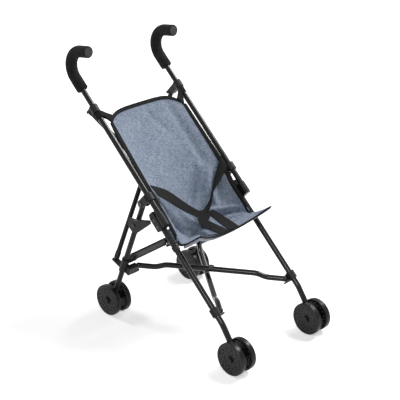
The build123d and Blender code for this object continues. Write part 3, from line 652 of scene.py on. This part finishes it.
print("slack starts", round(SLACK_DELAY / SLACK_RATE * SEAT_FLAT[1], 3), "m below the top edge")

# %% [markdown]
# ## Hang the cloth
# A short cloth simulation lets a slightly larger cloth settle inside the same edge, which loosens
# the even rows. The edge under the tape is held, and the slack grows down the seat. The simulated
# shape is then kept as the mesh, because a modifier that is left running would change with the
# frame.

# %% Hang the cloth
HANG_STEPS = 24
HANG_SETTINGS = {
    "shrink_min": -0.003,
    "shrink_max": -0.012,
    "quality": 10,
    "mass": 0.12,
    "tension_stiffness": 30,
    "compression_stiffness": 30,
    "shear_stiffness": 12,
    "bending_stiffness": 0.4,
    "air_damping": 2.0,
}


def hang(piece):
    """Lets the cloth settle inside its held edge and keeps the shape it takes."""
    held = hold_edge(piece)
    loose = loosen(piece)
    cloth = piece.modifiers.new("hang", "CLOTH")
    cloth.settings.vertex_group_mass = held.name
    cloth.settings.vertex_group_shrink = loose.name
    for setting, value in HANG_SETTINGS.items():
        setattr(cloth.settings, setting, value)
    cloth.point_cache.frame_start = 1
    cloth.point_cache.frame_end = HANG_STEPS
    for step in range(1, HANG_STEPS + 1):
        scene.frame_set(step)
    hung = piece.evaluated_get(bpy.context.evaluated_depsgraph_get())
    settled = [vert.co.copy() for vert in hung.to_mesh().vertices]
    hung.to_mesh_clear()
    piece.modifiers.remove(cloth)
    piece.vertex_groups.clear()
    scene.frame_set(1)
    moved = max((spot - vert.co).length for spot, vert in zip(settled, piece.data.vertices))
    for spot, vert in zip(settled, piece.data.vertices):
        vert.co = spot
    return moved


print("the cloth will hang for", HANG_STEPS, "steps")

# %% [markdown]
# ## Folds
# Where the cloth gathers it keeps folds. The simulation alone leaves them too soft, so they are
# pressed in afterwards. Each fold is a line between two places on the sling, written as (across,
# row), with a width and a depth in millimetres. Positive depths press the cloth back, negative
# ones raise a ridge beside the fold.

# %% Folds
ROW_LENGTH = 45.0
FOLDS = [
    ((0.40, 4.98), (1.0, 5.46), 4.6, 12.0),
    ((0.42, 4.66), (0.98, 5.14), 5.4, -10.0),
    ((0.45, 5.40), (0.95, 5.85), 5.0, -4.0),
    ((0.88, 3.30), (0.74, 4.30), 5.5, 9.0),
    ((0.62, 3.70), (0.60, 4.60), 6.0, -7.0),
    ((0.50, 2.85), (0.00, 4.15), 8.0, 13.0),
    ((0.76, 2.95), (0.26, 4.60), 9.0, -12.0),
    ((-0.62, 4.10), (-0.45, 5.75), 8.0, 13.0),
    ((-0.90, 3.40), (-0.84, 5.60), 6.5, -9.0),
    ((-0.28, 4.20), (-0.10, 5.40), 8.0, -9.0),
    ((-0.50, 5.75), (0.10, 5.55), 4.0, 6.0),
    ((-0.60, 6.05), (0.05, 5.95), 5.0, -5.0),
    ((0.66, 0.50), (0.76, 2.90), 9.0, 7.0),
    ((0.05, 0.45), (0.35, 1.35), 7.0, 3.0),
]
FOLD_ENDS = 0.15
FOLD_EDGE_SHARPNESS = 8
SEAT_HALF = SEAT_LEFT[0][0]


def flat_spot(across, row):
    """Place on the flattened sling in millimetres."""
    return Vector((across * SEAT_HALF, row * ROW_LENGTH))


def fold_depth(across, row):
    """How far the folds press the cloth back at one place, in millimetres."""
    spot = flat_spot(across, row)
    depth = 0.0
    for fold_start, fold_end, width, press in FOLDS:
        start = flat_spot(*fold_start)
        run = flat_spot(*fold_end) - start
        share = min(max((spot - start).dot(run) / run.length_squared, 0.0), 1.0)
        away = (spot - start - run * share).length / width
        fade = math.sin(math.pi * (FOLD_ENDS + (1 - 2 * FOLD_ENDS) * share))
        depth += press * math.exp(-away * away) * fade
    return depth


def press_folds(piece):
    """Moves the hung cloth back along its folds, and leaves its edges where the tape holds them."""
    back = on_tubes(0, 1, 0) - on_tubes(0, 0, 0)
    for index, (u, v) in cloth_places(piece).items():
        across = u * 2 - 1
        free = (1 - across ** FOLD_EDGE_SHARPNESS) * min(1.0, (1 - v) / HELD_END, v / HELD_END)
        piece.data.vertices[index].co += back * (fold_depth(across, v * LAST_ROW) * free)


print(len(FOLDS), "folds are ready")

# %% [markdown]
# ## Seat cloth
# Now the sling is cut, hung, folded and given its thickness. It hangs between the two side
# frames, which close towards each other, so it is left on neither of them and keeps its place in
# the scene. Riding on one frame alone would tear it off the other.

# %% Seat cloth
SEAT_GRID = (80, 150)
CLOTH_THICKNESS = 1.0

seat = grid_mesh("seat_cloth", SEAT_GRID, sling_uv, [chambray, lining], SEAT_FLAT)
print("the cloth moved up to", round(hang(seat) * 1000, 1), "mm as it settled")
press_folds(seat)
give_wall(seat, CLOTH_THICKNESS)
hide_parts("seat_sling")
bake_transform(seat)
print("sling points:", len(seat.data.vertices))

# %% [markdown]
# ## Lines of the edging tape
# The sling's raw edges are bound with black tape folded over them. A curve with a bevel could
# follow the edge, but it would be round. Each run of tape is a narrow grid instead, which
# overlaps the cloth on the inside and stands a little proud on the outside. Along the tubes it
# reaches out to touch them.

# %% Lines of the edging tape
# Widths in millimetres; steps back from an edge in the sling's own counts
TAPE_INSIDE = 4.6
TAPE_OUTSIDE = 3.6
TAPE_WIDTH = TAPE_INSIDE + TAPE_OUTSIDE
TAPE_BACK = 0.05
SIDE_TAPE_ROWS = {-1: LAST_ROW, 1: LAST_ROW - 0.95}
SIDE_TAPE_REACH = {
    -1: [TAPE_OUTSIDE, 5.6, 6.0, 6.6, 7.6, 6.0, TAPE_OUTSIDE, TAPE_OUTSIDE],
    1: [TAPE_OUTSIDE, TAPE_OUTSIDE, 4.0, 5.6, 5.6, 4.2, TAPE_OUTSIDE, TAPE_OUTSIDE],
}


def side_tape(side):
    def place(u, v):
        row = v * SIDE_TAPE_ROWS[side]
        edge = sling_place(side, row)
        inner = sling_place(side * (1 - TAPE_BACK), row)
        reach = smooth_value(SIDE_TAPE_REACH[side], row)
        step = (u * (TAPE_INSIDE + reach) - TAPE_INSIDE) * MM
        outwards = Vector((side, 0, 0)) if step > 0 else (edge - inner).normalized()
        return edge + outwards * step

    return place


def end_tape(row, inwards):
    def place(u, v):
        edge = sling_place(v * 2 - 1, row)
        inner = sling_place(v * 2 - 1, row + inwards)
        return edge + (edge - inner).normalized() * ((u * TAPE_WIDTH - TAPE_INSIDE) * MM)

    return place


print("tape is", round(TAPE_WIDTH, 1), "mm wide at the ends of the seat")

# %% [markdown]
# ## Edging tape
# The two side tapes lie along the tubes, so each rides on its own frame. The top and front tapes
# cross from one frame to the other and, like the seat, are left on neither. A bevel softens their
# edges, because folded tape has no sharp ones.

# %% Edging tape
SIDES = ((-1, "left", "left_frame"), (1, "right", "right_frame"))
TAPE_THICKNESS = 2.8
TAPE_ROUNDING = 0.8
ROUNDING_STEPS = 2
SIDE_TAPE_GRID = (6, 110)
SIDE_TAPE_FLAT = (TAPE_WIDTH * MM, 0.43)
END_TAPE_GRID = (4, 70)
END_TAPE_FLAT = (TAPE_WIDTH * MM, 0.21)
END_TAPE_BACK = 0.1


def round_off(piece, width):
    soft = piece.modifiers.new("rounding", "BEVEL")
    soft.width = width * MM
    soft.segments = ROUNDING_STEPS
    soft.limit_method = "ANGLE"


for side, hand, body in SIDES:
    tape = tape_piece(
        f"side_tape_{hand}", SIDE_TAPE_GRID, side_tape(side),
        TAPE_THICKNESS, edging, SIDE_TAPE_FLAT)
    round_off(tape, TAPE_ROUNDING)
    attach(tape, body)
    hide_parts("seat_side_binding")
for name, row, inwards, node in (
    ("top_tape", 0, END_TAPE_BACK, "seat_top_binding"),
    ("front_tape", LAST_ROW, -END_TAPE_BACK, "seat_front_binding"),
):
    tape = tape_piece(
        name, END_TAPE_GRID, end_tape(row, inwards), TAPE_THICKNESS, edging, END_TAPE_FLAT)
    round_off(tape, TAPE_ROUNDING)
    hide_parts(node)
    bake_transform(tape)

# %% [markdown]
# ## Front hem
# Below the front tape the folded hem of the lining shows as a pale strip. It could be part of the
# seat's own grid, but as a strip of its own it hangs straight down from the edge and keeps its
# own height, which is largest at the left corner.

# %% Front hem
HEM_START_ROW = 6.15
HEM_TURN = 0.22
HEM_HEIGHTS = [8.0, 8.0, 6.0, 3.0, 2.6, 4.5]
HEM_GRID = (4, 90)
HEM_FLAT = (0.008, 0.27)


def hem_place(u, v):
    """Strip that hangs from the left edge of the front flap and then from its front edge."""
    if v < HEM_TURN:
        edge = sling_place(-1, HEM_START_ROW + (LAST_ROW - HEM_START_ROW) * v / HEM_TURN)
    else:
        edge = sling_place((v - HEM_TURN) / (1 - HEM_TURN) * 2 - 1, LAST_ROW)
    height = smooth_value(HEM_HEIGHTS, v * (len(HEM_HEIGHTS) - 1))
    return edge - Vector((0, 0, height * u * MM))


hem = tape_piece("front_hem", HEM_GRID, hem_place, CLOTH_THICKNESS, lining, HEM_FLAT)
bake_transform(hem)
print("hem below the front tape, up to", max(HEM_HEIGHTS), "mm high")

# %% [markdown]
# ## Top tabs
# A broad webbing tab runs from each top corner to the handle tube, goes round the tube below the
# bracket and carries the seat's weight. A ring and a flat strap could stand in for it, but one
# grid along a line round the tube has no seam. Each tab rides on its own frame.

# %% Top tabs
TAB_THICKNESS = 1.4
TAB_LOOP_WIDTH = 13.0
TAB_CORNER_WIDTH = 17.0
TAB_LOOP_ALONG = 617.5
TAB_CORNER_ALONG = {-1: 602.0, 1: 594.0}
TAB_SKEW = 9.0
# Places (across, behind) on the way from the seat round the tube and back, in millimetres
TAB_LINE = [
    (91, -3.2), (98, -4), (107, -6), (114, -7.3), (121.3, 0),
    (114, 7.3), (107.5, 3), (103, -1), (98, -2), (91, -1),
]
TAB_TUBE_SIDE = 107.0
TAB_SEAT_SIDE = 91.0
TAB_GRID = (6, 60)
TAB_FLAT = (0.016, 0.08)


def tab_place(side):
    def place(u, v):
        spot = smooth_between(TAB_LINE, v * (len(TAB_LINE) - 1))
        reach = (TAB_TUBE_SIDE - spot.x) / (TAB_TUBE_SIDE - TAB_SEAT_SIDE)
        reach = min(max(reach, 0.0), 1.0)
        middle = TAB_LOOP_ALONG + (TAB_CORNER_ALONG[side] - TAB_LOOP_ALONG) * reach
        width = TAB_LOOP_WIDTH + (TAB_CORNER_WIDTH - TAB_LOOP_WIDTH) * reach
        across = spot.x - (u - 0.5) * TAB_SKEW * reach
        return on_tubes(side * across, spot.y, middle + (u - 0.5) * width)

    return place


for side, hand, body in SIDES:
    tab = tape_piece(f"top_tab_{hand}", TAB_GRID, tab_place(side), TAB_THICKNESS, webbing, TAB_FLAT)
    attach(tab, body)
    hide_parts("seat_top_tabs")

# %% [markdown]
# ## Corner flaps
# Below the joiner blocks the handle tubes end, so a flap of the seat's cloth closes the gap to
# the front tube there and is sewn round behind it. The sling itself could be widened, but then
# its edge tape would leave the tube. A small sheet on each frame covers the gap at every pose.

# %% Corner flaps
# Places (across, behind) from the seat's edge to behind the tube, in millimetres
FLAP_LINES = {
    -1: [(95, 13), (98, 16.5), (102, 20.5), (107, 24.5), (111, 25)],
    1: [(101, 10), (102.5, 14.5), (103.6, 19), (107, 24), (111, 25)],
}
FLAP_TOP = 357.0
FLAP_FOOT = 327.0
FLAP_GRID = (12, 16)
FLAP_FLAT = (0.02, 0.03)


def flap_place(side):
    line = FLAP_LINES[side]

    def place(u, v):
        spot = smooth_between(line, u * (len(line) - 1))
        return on_tubes(side * spot.x, spot.y, FLAP_TOP + (FLAP_FOOT - FLAP_TOP) * v)

    return place


for side, hand, body in SIDES:
    flap = tape_piece(
        f"corner_flap_{hand}", FLAP_GRID, flap_place(side), CLOTH_THICKNESS, chambray, FLAP_FLAT)
    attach(flap, body)
print("flaps below both joiner blocks")

# %% [markdown]
# ## Lines of the harness
# Two wide straps come off the side tapes, one hanging flat and one twisted on itself, and meet at
# a sewn patch. From the patch two bands run side by side between the legs to the front lip. A
# curve with a flat profile could make them, but its twist is hard to steer. A strap is a narrow
# grid here: a row of places along its middle, each with the direction of its width.

# %% Lines of the harness
LEFT_STRAP = [
    (-96, -2, 434, -4, 0, 26), (-67, 6, 416, 10, 0, 25), (-41, 14, 390, 14, 0, 17),
    (-17, 20, 368, 14, 0, 10), (2, 23, 356, 18, 0, 9),
]
RIGHT_STRAP = [
    (104, -3, 440, 1, 0, 28), (92, 0, 432, 4, 0, 26), (66, 10, 410, 7, 9, 15),
    (48, 17, 393, 8, 15, 4), (31, 21, 376, 5, 15, 6), (8, 24, 362, -6, 8, 10),
]
PATCH = [(4, 22, 368, 26, 0, -4), (-3, 21, 354, 30, 0, -6), (-13, 20, 341, 22, 0, -2)]
CROTCH_UPPER = [
    (20, 22, 361, 18, 0, 0), (26, 17, 341, 21, 0, 5),
    (22, -1, 316, 25, 0, 5), (20, -13, 300, 25, 0, 0),
]
CROTCH_LOWER = [
    (-12, 21, 347, 18, 0, 6), (-11, 9, 328, 21, 0, 7),
    (-8, -7, 307, 25, 0, 1), (-7, -14, 299, 24, 0, 0),
]


def band(stops):
    """Stops are a place and a width, each as (across, behind, along) in millimetres."""
    middles = [stop[:3] for stop in stops]
    widths = [stop[3:] for stop in stops]

    def place(u, v):
        t = v * (len(stops) - 1)
        return on_tubes(*(smooth_between(middles, t) + smooth_between(widths, t) * (u - 0.5)))

    return place


print("the right strap has", len(RIGHT_STRAP), "stops, the left one", len(LEFT_STRAP))

# %% [markdown]
# ## Harness
# The bands are black webbing with softened edges. Both straps reach from one frame towards the
# other, so the whole harness, like the seat that it lies on, is left on neither frame. On one
# frame alone, it would slide off the cloth as the buggy folds.

# %% Harness
STRAP_THICKNESS = 1.5
STRAP_ROUNDING = STRAP_THICKNESS / 4
STRAP_GRID = (8, 48)

# Piece, stops, CAD node that it stands for, flat size in metres
for name, stops, node, flat in (
    ("harness_strap_left", LEFT_STRAP, "harness_left_strap", (0.025, 0.14)),
    ("harness_strap_right", RIGHT_STRAP, "harness_right_strap", (0.025, 0.14)),
    ("harness_sewn_patch", PATCH, "harness_patch", (0.028, 0.03)),
    ("crotch_strap_upper", CROTCH_UPPER, "harness_crotch_strap", (0.023, 0.075)),
    ("crotch_strap_lower", CROTCH_LOWER, "harness_crotch_strap", (0.023, 0.065)),
):
    piece = tape_piece(name, STRAP_GRID, band(stops), STRAP_THICKNESS, webbing, flat)
    round_off(piece, STRAP_ROUNDING)
    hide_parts(node)
    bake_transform(piece)
